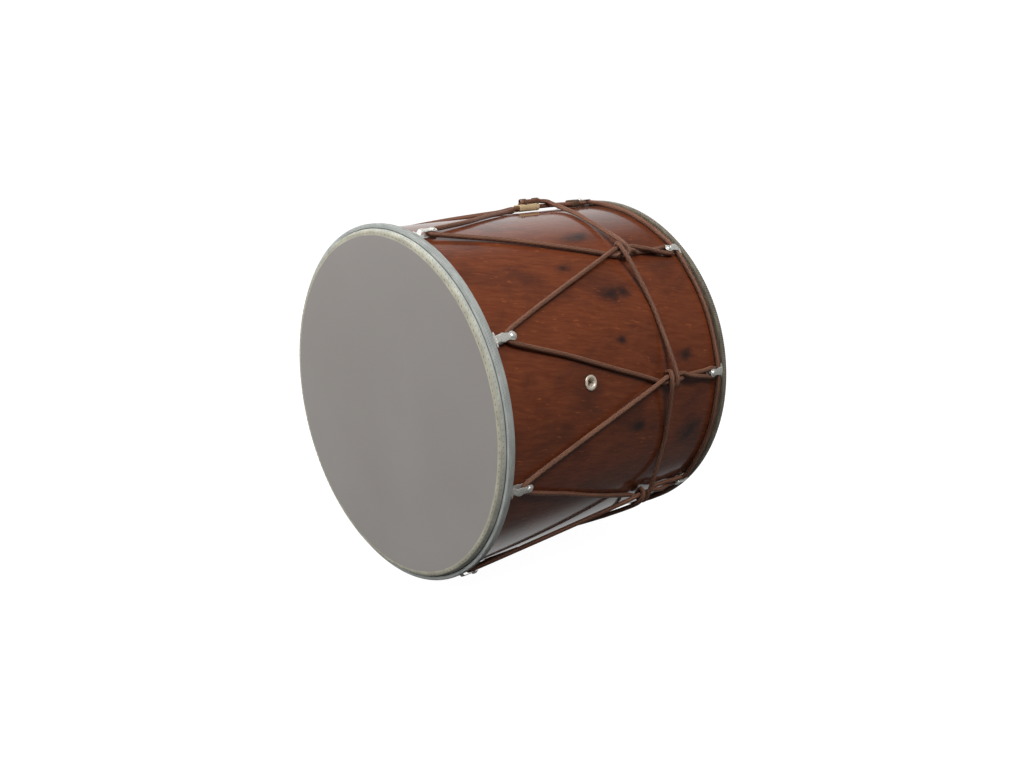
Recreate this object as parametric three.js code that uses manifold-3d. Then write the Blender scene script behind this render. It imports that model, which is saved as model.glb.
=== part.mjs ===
// A two-headed, rope-tensioned cylinder drum lying on its side.
// Millimetres, +Z up, drum axis along Y, front head at -Y, rear head at +Y.
import * as THREE from 'three';
import { mergeVertices } from 'three/addons/utils/BufferGeometryUtils.js';
import Module from 'manifold-3d';

const wasm = await Module();
wasm.setup();

// ---------------------------------------------------------------- driving dimensions
const RAD = Math.PI / 180;
const SIDES = 64;                        // facets round the drum
const GAP = 0.3;                         // clearance between touching pieces

const SHELL_R = 163.2;                   // outside of the bent plywood shell
const SHELL_WALL = 6;
const HOOP_Y = 138.95;                   // hoop centre from the middle of the drum
const CREST = 7.4;                       // shell edge beyond the hoop centre

const FILM = 0.4;                        // drum head film
const HOOP_INNER_R = 164.9;              // flat steel hoop inside the hem of the head
const HOOP_OUTER_R = 166.8;
const HOOP_HALF_WIDTH = 2;

const TENSIONERS = 8;                    // hooks per head
const PITCH = 360 / TENSIONERS;
const FRONT_HOOK_ANGLE = 77.1;           // angles from +X towards +Z, first hook of each head
const REAR_HOOK_ANGLE = 96.4;
const CINCH_ANGLE = 98.5;

const STRAP = 0.6;                       // sheet thickness of the folded hooks
const STRAP_HALF_WIDTH = 3.2;
const STRAP_LOW = 164.4;                 // centre of the lower layer of the strap
const STRAP_HEM = 167.3;                 // centre of the upper layer inside the hem
const STRAP_TOP = 170.1;                 // centre of the upper layer over the rope
const POST_BACK = 20.4;                  // rivet behind the hoop centre
const RING_END_R = 4.1;
const POST_R = 1.5;
const RIVET_SIDES = 8;

const ROPE_R = 2.25;
const ROPE_SIDES = 8;
const ON_SHELL = 166;                    // centre of a rope that lies on the shell
const IN_HOOK = 167.25;                  // centre of the rope inside a hook
const PAIR_R = 170.65;                   // centre of the strands lifted by the tuning cord
const PAIR_HALF = 2.4;                   // half the spacing of two strands side by side
const OVER_PAIR = 175.4;                 // centre of the tuning cord over the strands
const CINCH_Y = 56;
const RIM_CORD_BACK = 9.2;               // rim cord behind the rear hoop centre

const WHIP = { from: 34, to: 62, wall: 0.8, collar: 3.2, inset: 8 };
const SPLICE_R = 168;                    // strands inside the whipping
const SPLICE_OVER = SPLICE_R + 2 * (ROPE_R + GAP) + WHIP.wall; // ends of the tuning cord on top of it
const SERVING = { from: 102, to: 113.4, wall: 1.2, r: 167.5, half: 3.2 };

const VENT = { angle: 13.5, y: -41, bore: 3.5, barrel: 4.4, hole: 4.8, flange: 7 };

// ---------------------------------------------------------------- materials
const finish = (color, roughness, metalness = 0) => new THREE.MeshStandardMaterial({ color, roughness, metalness });
const lacqueredWood = () => finish(0x5f3323, 0.25);
const bareWood = () => finish(0xa67c52, 0.7);
const film = () => finish(0x8d8884, 0.55);
const steel = () => finish(0x9a9c9e, 0.4, 1);
const nickel = () => finish(0xc9cac8, 0.28, 1);
const rope = () => finish(0x65473a, 0.85);
const thread = () => finish(0xa07d55, 0.8);

// ---------------------------------------------------------------- geometry helpers
// A thin band of constant thickness along a path of [a, b] points, as a closed outline.
function band(path, thickness) {
  const points = path.map(([a, b]) => new THREE.Vector2(a, b));
  const side = (sign) => points.map((point, i) => {
    const before = points[Math.max(i - 1, 0)];
    const after = points[Math.min(i + 1, points.length - 1)];
    const d1 = (i > 0 ? point.clone().sub(before) : after.clone().sub(point)).normalize();
    const d2 = (i < points.length - 1 ? after.clone().sub(point) : point.clone().sub(before)).normalize();
    const mitre = new THREE.Vector2(-d1.y - d2.y, d1.x + d2.x).normalize();
    const reach = thickness / 2 / (mitre.x * -d1.y + mitre.y * d1.x);
    return point.clone().addScaledVector(mitre, sign * reach);
  });
  return [...side(1), ...side(-1).reverse()];
}

// A turned solid about Y. The flats of its facets lie at the profile's radii, and one flat faces `angle`.
function turned(profile, { angle = 0, sides = SIDES } = {}) {
  const flat = Math.cos(Math.PI / sides);
  let points = profile.map((p) => new THREE.Vector2((p.x ?? p[0]) / flat, p.y ?? p[1]));
  if (THREE.ShapeUtils.area(points) < 0) points.reverse();
  if (points.some((p) => p.x < 1e-6)) {
    // start and end on the axis
    while (!(points[0].x < 1e-6 && points.at(-1).x < 1e-6)) points = [...points.slice(1), points[0]];
  } else {
    points.push(points[0].clone());
  }
  const start = (90 - angle) * RAD - Math.PI / sides;
  return new THREE.LatheGeometry(points, sides, start, 2 * Math.PI);
}

function bare(geometry) {
  const copy = geometry.clone();
  copy.deleteAttribute('normal');
  copy.deleteAttribute('uv');
  return mergeVertices(copy, 1e-4);
}

function solid(geometry) {
  const merged = bare(geometry);
  const corners = merged.index.array;
  const faces = [];
  for (let i = 0; i < corners.length; i += 3) {
    const [a, b, c] = corners.slice(i, i + 3);
    if (a !== b && b !== c && c !== a) faces.push(a, b, c);
  }
  return new wasm.Manifold(new wasm.Mesh({
    numProp: 3,
    vertProperties: new Float32Array(merged.attributes.position.array),
    triVerts: new Uint32Array(faces),
  }));
}

function fromSolid(manifold) {
  const mesh = manifold.getMesh();
  const geometry = new THREE.BufferGeometry();
  geometry.setAttribute('position', new THREE.BufferAttribute(mesh.vertProperties, 3));
  geometry.setIndex(new THREE.BufferAttribute(mesh.triVerts, 1));
  geometry.computeVertexNormals();
  return geometry;
}

// Axes of a place on the drum: local X runs round the drum, Y towards that end, Z outwards.
function placeAt(angle, end = 1, y = 0) {
  const out = new THREE.Vector3(Math.cos(angle * RAD), 0, Math.sin(angle * RAD));
  const along = new THREE.Vector3(0, end, 0);
  const round = new THREE.Vector3().crossVectors(along, out);
  return new THREE.Matrix4().makeBasis(round, along, out).setPosition(0, y, 0);
}

const drum = new THREE.Group();

function add(name, geometry, material, matrix = new THREE.Matrix4()) {
  const mesh = new THREE.Mesh(geometry, material);
  mesh.name = name;
  matrix.decompose(mesh.position, mesh.quaternion, mesh.scale);
  drum.add(mesh);
  return mesh;
}

// ---------------------------------------------------------------- shell and its rings
function makeShell() {
  const inner = SHELL_R - SHELL_WALL;
  const edge = [[SHELL_R, 3.9], [SHELL_R - 1, 5.9], [SHELL_R - 2.7, 7.1], [SHELL_R - 4.6, CREST], [inner, 5.5]];
  const rear = edge.map(([r, d]) => [r, HOOP_Y + d]);
  const front = edge.map(([r, d]) => [r, -HOOP_Y - d]).reverse();
  const tube = solid(turned([...rear, ...front], { angle: FRONT_HOOK_ANGLE }));
  const drill = new THREE.CylinderGeometry(VENT.hole, VENT.hole, 20, 24);
  drill.rotateX(Math.PI / 2);
  drill.translate(0, 0, SHELL_R);
  drill.applyMatrix4(placeAt(VENT.angle, 1, VENT.y));
  return fromSolid(tube.subtract(solid(drill)));
}

function innerRing() {
  const outer = SHELL_R - SHELL_WALL - GAP;
  const [from, to] = [HOOP_Y - 18, HOOP_Y + 4];
  return turned([[outer - 6, from], [outer, from], [outer, to], [outer - 6, to]], { angle: FRONT_HOOK_ANGLE });
}

// ---------------------------------------------------------------- heads and hoops
// The film lies over the shell edge, runs down inside the hoop, turns out behind it and back over it.
function head(hookAngles, angle) {
  const edge = CREST + GAP + FILM / 2;
  const skirt = SHELL_R + GAP + FILM / 2;
  const rim = HOOP_OUTER_R + 1.2;
  const path = [
    [0, edge], [159.2, edge], [161.9, edge - 0.4], [skirt, edge - 3.2], [skirt, -2.65], [rim, -2.65],
    [rim, 2.45], [rim - 0.8, 3.25], [164.6, 3.25],
  ];
  let body = solid(turned(band(path, FILM), { angle }));
  for (const hookAngle of hookAngles) {
    const slot = new THREE.BoxGeometry(2 * STRAP_HALF_WIDTH + 1, 1, 3.8);
    slot.translate(0, -2.7, 165.85);
    slot.applyMatrix4(placeAt(hookAngle));
    body = body.subtract(solid(slot));
  }
  return fromSolid(body);
}

function hoop(angle) {
  const w = HOOP_HALF_WIDTH;
  const section = [[HOOP_INNER_R, -w], [HOOP_OUTER_R, -w], [HOOP_OUTER_R, w], [HOOP_INNER_R, w]];
  return turned(section, { angle });
}

// ---------------------------------------------------------------- hooks
// A sheet strap folded round the hoop inside the hem. Its two layers meet a rivet behind the rope.
function hook() {
  const fold = [
    [-POST_BACK - 6, STRAP_LOW], [2.1, STRAP_LOW], [2.5, STRAP_LOW + 0.4], [2.5, STRAP_HEM - 0.4],
    [2.1, STRAP_HEM], [-5.4, STRAP_HEM], [-7.4, STRAP_TOP], [-POST_BACK - 6, STRAP_TOP],
  ];
  const strap = new THREE.ExtrudeGeometry(new THREE.Shape(band(fold, STRAP)), { depth: 20, bevelEnabled: false });
  strap.translate(0, 0, -10);
  // outline plane (a, b) becomes (Y, Z), the depth becomes X
  strap.applyMatrix4(new THREE.Matrix4().set(0, 0, 1, 0, 1, 0, 0, 0, 0, 1, 0, 0, 0, 0, 0, 1));

  const plan = (ears) => {
    const half = [[STRAP_HALF_WIDTH, 4]];
    if (ears) half.push([STRAP_HALF_WIDTH, -3.4], [7, -3.4], [7, -5.3]);
    half.push([STRAP_HALF_WIDTH, -5.3], [4.3, -11.4], [2.9, -15.4]);
    for (let turn = 36; turn > -90; turn -= 36) {
      half.push([RING_END_R * Math.cos(turn * RAD), -POST_BACK + RING_END_R * Math.sin(turn * RAD)]);
    }
    return [...half, ...half.map(([x, y]) => [-x, y]).reverse()].map(([x, y]) => new THREE.Vector2(x, y));
  };
  const layer = (ears, from, to) => {
    const block = new THREE.ExtrudeGeometry(new THREE.Shape(plan(ears)), { depth: to - from, bevelEnabled: false });
    block.translate(0, 0, from);
    return solid(block);
  };
  const middle = (STRAP_LOW + STRAP_HEM) / 2;
  const outline = layer(false, STRAP_LOW - 1, middle).add(layer(true, middle, STRAP_TOP + 1));
  const boreR = (POST_R + GAP) / Math.cos(Math.PI / RIVET_SIDES);
  const bore = new THREE.CylinderGeometry(boreR, boreR, 20, RIVET_SIDES);
  bore.rotateX(Math.PI / 2);
  bore.translate(0, -POST_BACK, SHELL_R);
  return fromSolid(solid(strap).intersect(outline).subtract(solid(bore)));
}

function rivet() {
  const low = STRAP_LOW - STRAP / 2 + 0.05;
  const top = STRAP_TOP + STRAP / 2 + 0.15;
  const profile = [[0, low], [POST_R, low], [POST_R, top], [2.7, top], [2.3, top + 0.9], [0, top + 1.5]];
  const geometry = turned(profile, { sides: RIVET_SIDES });
  geometry.rotateX(Math.PI / 2);
  geometry.translate(0, -POST_BACK, 0);
  return geometry;
}

// ---------------------------------------------------------------- ropes
// A rope's route is a list of points. Each step of its tube ends on one of them.
class Route extends THREE.CatmullRomCurve3 {
  getPointAt(u, target) { return this.getPoint(u, target); }

  getTangentAt(u, target) { return this.getTangent(u, target); }
}

function tube(points, radius = ROPE_R) {
  const section = new THREE.Shape();
  for (let i = 0; i < ROPE_SIDES; i += 1) {
    const turn = (i / ROPE_SIDES) * 2 * Math.PI;
    section[i ? 'lineTo' : 'moveTo'](radius * Math.cos(turn), radius * Math.sin(turn));
  }
  const extrudePath = new Route(points, false, 'centripetal');
  return new THREE.ExtrudeGeometry(section, { steps: points.length - 1, extrudePath, bevelEnabled: false });
}

// A point beside the line at `angle`: `side` runs round the drum, towards larger angles.
function onDrum(angle, [y, side, r]) {
  const turn = angle * RAD + side / r;
  return new THREE.Vector3(r * Math.cos(turn), y, r * Math.sin(turn));
}

// The bight round a hook's rivet, from one side of it to the other.
function bight(angle, end, fromSide) {
  const radius = POST_R + 3 * GAP + ROPE_R;
  return [67, 30, 0, -30, -67].map((turn) => {
    const side = fromSide * radius * Math.sin(turn * RAD);
    return onDrum(angle, [end * (HOOP_Y - POST_BACK + radius * Math.cos(turn * RAD)), side, IN_HOOK]);
  });
}

// Strand that comes from the hook at larger angles: it lies on the shell and dips under its partner.
const UPPER_STRAND = [
  [-62, 42.1, ON_SHELL], [-35, 31, ON_SHELL], [-8, 20, ON_SHELL], [18, 10, ON_SHELL], [36, 2.7, ON_SHELL],
  [42, 0, ON_SHELL - 0.1], [45.5, -1.6, ON_SHELL + 0.2], [49, -2.8, 167.5], [52, -2.7, 169.4],
  [55, -2.45, PAIR_R], [69, -2.45, PAIR_R], [72, -2.6, 169.2], [75, -2.5, 167.2], [78.5, -2.2, ON_SHELL + 0.1],
  [96, -2.1, ON_SHELL], [108, -2.2, 166.9],
];

// Its partner from the hook at smaller angles: straight off the hook and over the crossings.
const LOWER_STRAND = [
  [42, 0, PAIR_R + 0.2], [46, 1.5, PAIR_R + 0.1], [50, 2.3, PAIR_R], [55, PAIR_HALF, PAIR_R],
  [72, PAIR_HALF, PAIR_R], [75, 1.4, PAIR_R + 0.1], [83, -2, PAIR_R + 0.3], [89, -3.6, PAIR_R + 0.1],
  [97, -5.6, 169.3], [107, -7.6, 167.7],
];

// At the whipping the two strands lie side by side without crossing.
const SPLICED_STRAND = [
  [-62, 41, ON_SHELL], [-30, 28, ON_SHELL], [0, 15.5, ON_SHELL], [18, 7.5, 166.4], [29, PAIR_HALF + 0.4, SPLICE_R],
  [32, PAIR_HALF, SPLICE_R], [80, PAIR_HALF, SPLICE_R],
];

// The rope's two ends meet inside the serving, on the side of the first rear hook at `side`.
const served = (side, ...stops) => stops.map((y) => onDrum(REAR_HOOK_ANGLE, [y, side * SERVING.half, SERVING.r]));

function lacingRoute() {
  const points = served(-1, SERVING.from + 4, SERVING.from);
  for (let k = 0; k < TENSIONERS; k += 1) {
    // from the rear hook forwards to the front hook, then back to the next rear hook
    const cinch = CINCH_ANGLE - PITCH * k;
    const next = cinch - PITCH;
    const lower = k === 0 ? SPLICED_STRAND.map(([y, side, r]) => [y, -side, r]) : LOWER_STRAND;
    const upper = k === TENSIONERS - 1 ? SPLICED_STRAND : UPPER_STRAND;
    points.push(...lower.map((p) => onDrum(cinch, p)).reverse());
    points.push(...bight(FRONT_HOOK_ANGLE - PITCH * k, -1, 1));
    points.push(...upper.map((p) => onDrum(next, p)));
    if (k === TENSIONERS - 1) points.push(...served(1, SERVING.from, SERVING.to));
    points.push(...bight(REAR_HOOK_ANGLE - PITCH * (k + 1), 1, 1));
  }
  points.push(...served(-1, SERVING.to, SERVING.from + 6));
  return points;
}

// One round turn of the tuning cord about a pair of strands.
const ROUND_TURN = [
  [2.6, 4, OVER_PAIR], [2.6, -3.2, OVER_PAIR], [2, -6.2, 173.6], [1.4, -7.1, PAIR_R], [0.8, -6.2, 167.2],
  [0.3, -3.4, ON_SHELL], [-0.3, 3.4, ON_SHELL], [-1, 6.2, 167.2], [-2, 7.1, PAIR_R], [-3.2, 6.2, 173.6],
  [-4.4, 3.2, OVER_PAIR], [-4.7, -4, OVER_PAIR],
];

// The free run between two cinches meets the shell about 18 degrees away, a little nearer the rear.
function freeRun(angle) {
  return [20.2, 24.8].map((turn, i) => onDrum(angle - turn, [CINCH_Y + 2.6 + 0.4 * i, 0, ON_SHELL]));
}

function tuningRoute() {
  const points = [
    [40.5, -PAIR_HALF, SPLICE_OVER], [62.5, -PAIR_HALF, SPLICE_OVER], [66.5, -2.5, 173.1], [70, -3.4, 172.8],
    [72.6, -6.2, 172], [73.2, -12, 169.9],
  ].map((p) => onDrum(CINCH_ANGLE, p));
  const first = [[16, 68], [20, 66], [24, 64]];
  points.push(...first.map(([turn, y]) => onDrum(CINCH_ANGLE - turn, [y, 0, ON_SHELL])));
  for (let k = 1; k < TENSIONERS; k += 1) {
    const cinch = CINCH_ANGLE - PITCH * k;
    points.push(...ROUND_TURN.map(([y, side, r]) => onDrum(cinch, [CINCH_Y + y, side, r])));
    if (k < TENSIONERS - 1) points.push(...freeRun(cinch));
  }
  const last = [[24, 52], [19, 50.5], [14, 49]];
  points.push(...last.map(([turn, y]) => onDrum(CINCH_ANGLE + turn, [y, 0, ON_SHELL])));
  const tail = [
    [48.5, 13, 169.2], [48.6, 8.4, 172.3], [50.3, 4.2, 173.8], [54, PAIR_HALF, SPLICE_OVER],
    [65, PAIR_HALF, SPLICE_OVER],
  ];
  points.push(...tail.map((p) => onDrum(CINCH_ANGLE, p)));
  return points;
}

// The rim cord goes once round the shell beside the rear hoop, through every rear hook.
function rimRoute() {
  const y = HOOP_Y - RIM_CORD_BACK;
  const points = [];
  const start = REAR_HOOK_ANGLE + PITCH - 12;
  for (let turn = 0; turn <= 376; turn += 5) {
    const angle = start - turn;
    const toHook = Math.abs(((angle - REAR_HOOK_ANGLE) % PITCH + PITCH * 1.5) % PITCH - PITCH / 2);
    const lift = Math.max(0, 1 - Math.max(0, toHook - 4) / 5);
    const past = Math.max(0, turn - 352) / 8;
    points.push(onDrum(angle, [y - 5.2 * Math.min(1, past), 0, ON_SHELL + (IN_HOOK - ON_SHELL) * lift]));
  }
  return points;
}

// A sleeve of wound thread: a rounded rectangle with a hole of the same form.
function sleeve({ from, to, wall }, halfWidth, low, high) {
  const loop = (grow, shape) => {
    const [x, z0, z1, c] = [halfWidth + grow, low - grow, high + grow, 1.4 + grow];
    shape.moveTo(-x + c, z0).lineTo(x - c, z0).lineTo(x, z0 + c).lineTo(x, z1 - c);
    return shape.lineTo(x - c, z1).lineTo(-x + c, z1).lineTo(-x, z1 - c).lineTo(-x, z0 + c);
  };
  const shape = loop(wall, new THREE.Shape());
  shape.holes.push(loop(0, new THREE.Path()));
  const geometry = new THREE.ExtrudeGeometry(shape, { depth: to - from, bevelEnabled: false });
  return geometry.rotateX(Math.PI / 2).translate(0, to, 0);
}

// The whipping binds two strands, and two collars on it hold the tuning cord's ends on top.
function whippingSleeve() {
  const { from, to, wall, collar, inset } = WHIP;
  const [half, reach] = [PAIR_HALF + ROPE_R + GAP, ROPE_R + GAP];
  const around = (start, end, r) => solid(sleeve({ from: start, to: end, wall }, half, r - reach, r + reach));
  const starts = [from + inset, to - collar];
  const collars = starts.map((start) => around(start, start + collar, SPLICE_OVER));
  return fromSolid(collars.reduce((body, ring) => body.add(ring), around(from, to, SPLICE_R)));
}

// ---------------------------------------------------------------- vent
function grommet() {
  const { bore, barrel, flange } = VENT;
  const top = SHELL_R + 0.5;
  const inside = SHELL_R - SHELL_WALL - 1.6;
  const profile = [
    [bore, inside], [5.4, inside], [5.4, inside + 0.5], [barrel, inside + 0.5], [barrel, top],
    [flange, top], [flange, top + 0.3], [6.2, top + 0.9], [4.6, top + 0.9], [bore, top + 0.2],
  ];
  return turned(profile, { sides: 24 }).rotateX(Math.PI / 2);
}

function washer() {
  const under = SHELL_R - SHELL_WALL - 1;
  const profile = [[4.7, under], [VENT.flange, under], [VENT.flange, under + 0.6], [4.7, under + 0.6]];
  return turned(profile, { sides: 24 }).rotateX(Math.PI / 2);
}

// ---------------------------------------------------------------- assembly
add('shell', makeShell(), lacqueredWood());
add('rear_inner_ring', innerRing(), bareWood());
const frontRing = add('front_inner_ring', innerRing(), bareWood());
frontRing.geometry.rotateX(Math.PI);

const ends = [
  { name: 'front', end: -1, first: FRONT_HOOK_ANGLE },
  { name: 'rear', end: 1, first: REAR_HOOK_ANGLE },
];
for (const { name, end, first } of ends) {
  // each end is made facing +Y, then turned about Z so that its first hook comes to its angle
  const angles = Array.from({ length: TENSIONERS }, (_, k) => first - PITCH * k);
  const own = end > 0 ? angles : angles.map((angle) => 180 - angle);
  const facing = new THREE.Matrix4().makeRotationZ(end > 0 ? 0 : Math.PI).setPosition(0, end * HOOP_Y, 0);
  add(`${name}_head`, head(own, own[0]), film(), facing);
  add(`${name}_hoop`, hoop(own[0]), steel(), facing);
  angles.forEach((angle, k) => {
    const place = placeAt(angle, end, end * HOOP_Y);
    add(`${name}_hook_${k + 1}`, hook(), nickel(), place);
    add(`${name}_rivet_${k + 1}`, rivet(), nickel(), place);
  });
}

const [vent, cinch] = [placeAt(VENT.angle, 1, VENT.y), placeAt(CINCH_ANGLE)];
add('vent_grommet', grommet(), nickel(), vent);
add('vent_washer', washer(), nickel(), vent);
add('lacing_rope', tube(lacingRoute()), rope());
add('tuning_cord', tube(tuningRoute()), rope());
add('rim_cord', tube(rimRoute()), rope());
add('whipping', whippingSleeve(), thread(), cinch);
const servingHalf = SERVING.half + ROPE_R + GAP;
const [servingLow, servingHigh] = [SERVING.r - ROPE_R - GAP, SERVING.r + ROPE_R + GAP];
const serving = sleeve(SERVING, servingHalf, servingLow, servingHigh);
add('lacing_serving', serving, rope(), placeAt(REAR_HOOK_ANGLE));

// stand the drum on z = 0
drum.updateMatrixWorld(true);
const box = new THREE.Box3().setFromObject(drum, true);
drum.position.z = -box.min.z;

export default drum;
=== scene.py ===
# Looks for a rope-tensioned cylinder drum lying on its side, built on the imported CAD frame.
# Lengths are in millimetres in drum coordinates (axis through the origin along Y) until `place` puts
# them into the frame's metres.
import math
import random

import bmesh
import bpy
from mathutils import Matrix, Vector


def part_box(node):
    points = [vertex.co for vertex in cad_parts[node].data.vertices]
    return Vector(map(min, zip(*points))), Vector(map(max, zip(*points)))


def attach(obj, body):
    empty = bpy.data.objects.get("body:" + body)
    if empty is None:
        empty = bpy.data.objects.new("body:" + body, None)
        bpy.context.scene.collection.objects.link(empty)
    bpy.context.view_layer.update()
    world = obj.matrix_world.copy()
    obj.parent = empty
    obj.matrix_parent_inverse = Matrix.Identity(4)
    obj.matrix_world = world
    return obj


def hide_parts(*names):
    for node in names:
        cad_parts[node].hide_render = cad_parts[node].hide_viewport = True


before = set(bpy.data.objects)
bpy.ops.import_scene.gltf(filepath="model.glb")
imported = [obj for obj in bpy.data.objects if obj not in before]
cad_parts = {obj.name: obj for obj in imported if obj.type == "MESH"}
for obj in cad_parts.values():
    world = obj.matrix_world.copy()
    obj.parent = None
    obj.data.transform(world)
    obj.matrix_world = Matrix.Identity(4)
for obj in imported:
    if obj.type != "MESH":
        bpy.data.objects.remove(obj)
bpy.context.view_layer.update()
random.seed(7)

# ------------------------------------------------------------------ sizes, as in the CAD model
SHELL_R = 163.2
SHELL_WALL = 6.0
HOOP_Y = 138.95
CREST = 7.4  # the shell's ends, beyond the hoops' centres
EDGE_START = 3.9  # where the shell's rounded edges start, beyond the hoops' centres
FILM = 0.4
FILM_GAP = 0.3
FLAT_R = 158.2  # the flat part of a head
HEM_INNER, HEM_OUTER = 164.6, 168.0
HEM_LOW, HEM_TOP = -2.65, 3.3
TENSIONERS = 8
PITCH = 360 / TENSIONERS
FRONT_HOOK_ANGLE = 77.1
REAR_HOOK_ANGLE = 96.4
CINCH_ANGLE = 98.5
POST_BACK = 20.4  # the rivets, from the hoops' centres
POST_R = 1.5
STRAP_LOW, STRAP_HEM, STRAP_TOP = 164.4, 167.3, 170.1
STRAP_FRONT, STRAP_RAMP, STRAP_BACK = 2.6, -5.4, -7.4  # its bend, and the ends of its ramp
STRAP_HALF_THICK = 0.3
STRAP_HALF, STRAP_WAVE, STRAP_END_R = 3.15, 0.95, 4.1
EAR_BACK, EAR_HALF_LENGTH, EAR_REACH = 4.35, 0.95, 3.8
RIVET_HEAD_R, RIVET_HEAD_RISE = 2.75, 1.15
ROPE_R = 2.25
ON_SHELL = 166.0
IN_HOOK = 167.25
PAIR_R = 170.65
PAIR_HALF = 2.4
OVER_PAIR = 175.4
CINCH_Y = 56.0
WHIP_FROM, WHIP_TO, WHIP_COLLAR, WHIP_INSET = 34.0, 62.0, 3.2, 8.0
SPLICE_R = 168.0
SPLICE_OVER = 173.9
SERVING_R, SERVING_HALF, SERVING_FROM, SERVING_TO = 167.5, 3.2, 102.0, 113.4
RIM_CORD_BACK = 9.2
VENT_ANGLE, VENT_Y = 13.5, -41.0
VENT_BORE, VENT_BARREL, VENT_FOOT, VENT_FLANGE, VENT_DRILL = 3.5, 4.4, 5.4, 7.0, 4.8
SEAM = -90.0  # the angle at which turned meshes and their UVs start

_low, _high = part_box("shell")
AXIS_Z = (_low[2] + _high[2]) / 2


def place(points):
    """Drum coordinates in millimetres to the frame's metres."""
    return [Vector((p[0] / 1000, p[1] / 1000, p[2] / 1000 + AXIS_Z)) for p in points]


def on_drum(angle, stop):
    """A point beside the line at `angle`: `side` runs round the drum, towards larger angles."""
    y, side, r = stop
    turn = math.radians(angle) + side / r
    return Vector((r * math.cos(turn), y, r * math.sin(turn)))


def spot(angle, end=1, y=0.0):
    """Axes of a place on the drum: X runs round it, Y towards that end, Z outwards."""
    out = Vector((math.cos(math.radians(angle)), 0, math.sin(math.radians(angle))))
    along = Vector((0, end, 0))
    around = along.cross(out)
    matrix = Matrix((around, along, out)).transposed().to_4x4()
    matrix.translation = (0, y, 0)
    return matrix


# ------------------------------------------------------------------ node materials
UV, OBJECT = 2, 3  # outputs of a texture coordinate node


def new_material(name, color=(0.5, 0.5, 0.5), roughness=0.5, **sockets):
    material = bpy.data.materials.new(name)
    material.use_nodes = True
    shader = material.node_tree.nodes["Principled BSDF"]
    shader.inputs["Base Color"].default_value = (*color, 1)
    shader.inputs["Roughness"].default_value = roughness
    for key, value in sockets.items():
        shader.inputs[key.replace("_", " ")].default_value = value
    return material


def feed(material, socket, value):
    if isinstance(value, bpy.types.NodeSocket):
        material.node_tree.links.new(value, socket)
    else:
        socket.default_value = value


def node(material, kind, out=0, props=None, **inputs):
    """Adds a node, sets or links its inputs, and returns one of its outputs."""
    made = material.node_tree.nodes.new("ShaderNode" + kind)
    for key, value in (props or {}).items():
        setattr(made, key, value)
    for key, value in inputs.items():
        index = int(key[1:]) if key[0] == "i" and key[1:].isdigit() else key.replace("_", " ")
        feed(material, made.inputs[index], value)
    return made.outputs[out]


def math_node(material, operation, a, b=0.0):
    return node(material, "Math", props={"operation": operation}, i0=a, i1=b)


def times(material, a, b):
    return math_node(material, "MULTIPLY", a, b)


def mix(material, factor, a, b):
    """From color a to color b. Each is (red, green, blue) or a socket."""
    a, b = ((*c, 1) if isinstance(c, tuple) else c for c in (a, b))
    return node(material, "Mix", out=2, props={"data_type": "RGBA"}, i0=factor, i6=a, i7=b)


def ramp(material, factor, low, high):
    """0 below `low`, 1 above `high`."""
    props = {"interpolation_type": "SMOOTHSTEP"}
    return node(material, "MapRange", props=props, i0=factor, i1=low, i2=high, i3=0.0, i4=1.0)


def mapped(material, scale, source=UV):
    return node(material, "Mapping", Vector=node(material, "TexCoord", out=source), Scale=scale)


def noise(material, vector, scale=1.0, detail=3.0, rough=0.5, distortion=0.0):
    return node(material, "TexNoise", Vector=vector, Scale=scale, Detail=detail, Roughness=rough,
                Distortion=distortion)


def bump(material, height, strength, distance):
    shader = material.node_tree.nodes["Principled BSDF"]
    normal = node(material, "Bump", Height=height, Strength=strength, Distance=distance)
    material.node_tree.links.new(normal, shader.inputs["Normal"])


def paint(material, color, roughness=None):
    shader = material.node_tree.nodes["Principled BSDF"]
    feed(material, shader.inputs["Base Color"], color)
    if roughness is not None:
        feed(material, shader.inputs["Roughness"], roughness)


# Knots of the veneer: angle, y, reach round the drum, reach along it
KNOTS = [
    (39.7, 16, 11, 20), (39.3, 33, 9, 11), (65.2, 28.7, 12, 32), (14.3, 87, 10, 16), (-4.8, 19.8, 10, 14),
    (-13.5, 100, 22, 28), (112, -70, 9, 18), (150, 30, 11, 20), (-170, -50, 9, 22), (-125, 75, 12, 18),
    (-60, -60, 9, 16), (178, 95, 9, 14), (24, 8, 7, 9), (52, -20, 8, 12),
]
GRAIN_TURN = -13  # degrees between the veneer's grain and the drum's axis


def knot_mask(m, uv):
    """1 in the middle of each knot and 0 away from them, with a ragged edge."""
    ragged = noise(m, mapped(m, (90, 70, 1)), 1, 4, 0.62)
    dark = 0.0
    for angle, y, across, along in KNOTS:
        centre = (math.radians((angle - SEAM) % 360) * SHELL_R / 1000, y / 1000, 0)
        away = node(m, "VectorMath", props={"operation": "SUBTRACT"}, i0=uv, i1=centre)
        scale = (1000 / across, 1000 / along, 0)
        away = node(m, "VectorMath", props={"operation": "MULTIPLY"}, i0=away, i1=scale)
        reach = node(m, "VectorMath", out=1, props={"operation": "LENGTH"}, i0=away)
        reach = math_node(m, "ADD", reach, times(m, ragged, 1.3))
        dark = math_node(m, "MAXIMUM", dark, math_node(m, "SUBTRACT", 1.0, ramp(m, reach, 0.55, 1.75)))
    return dark


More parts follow.
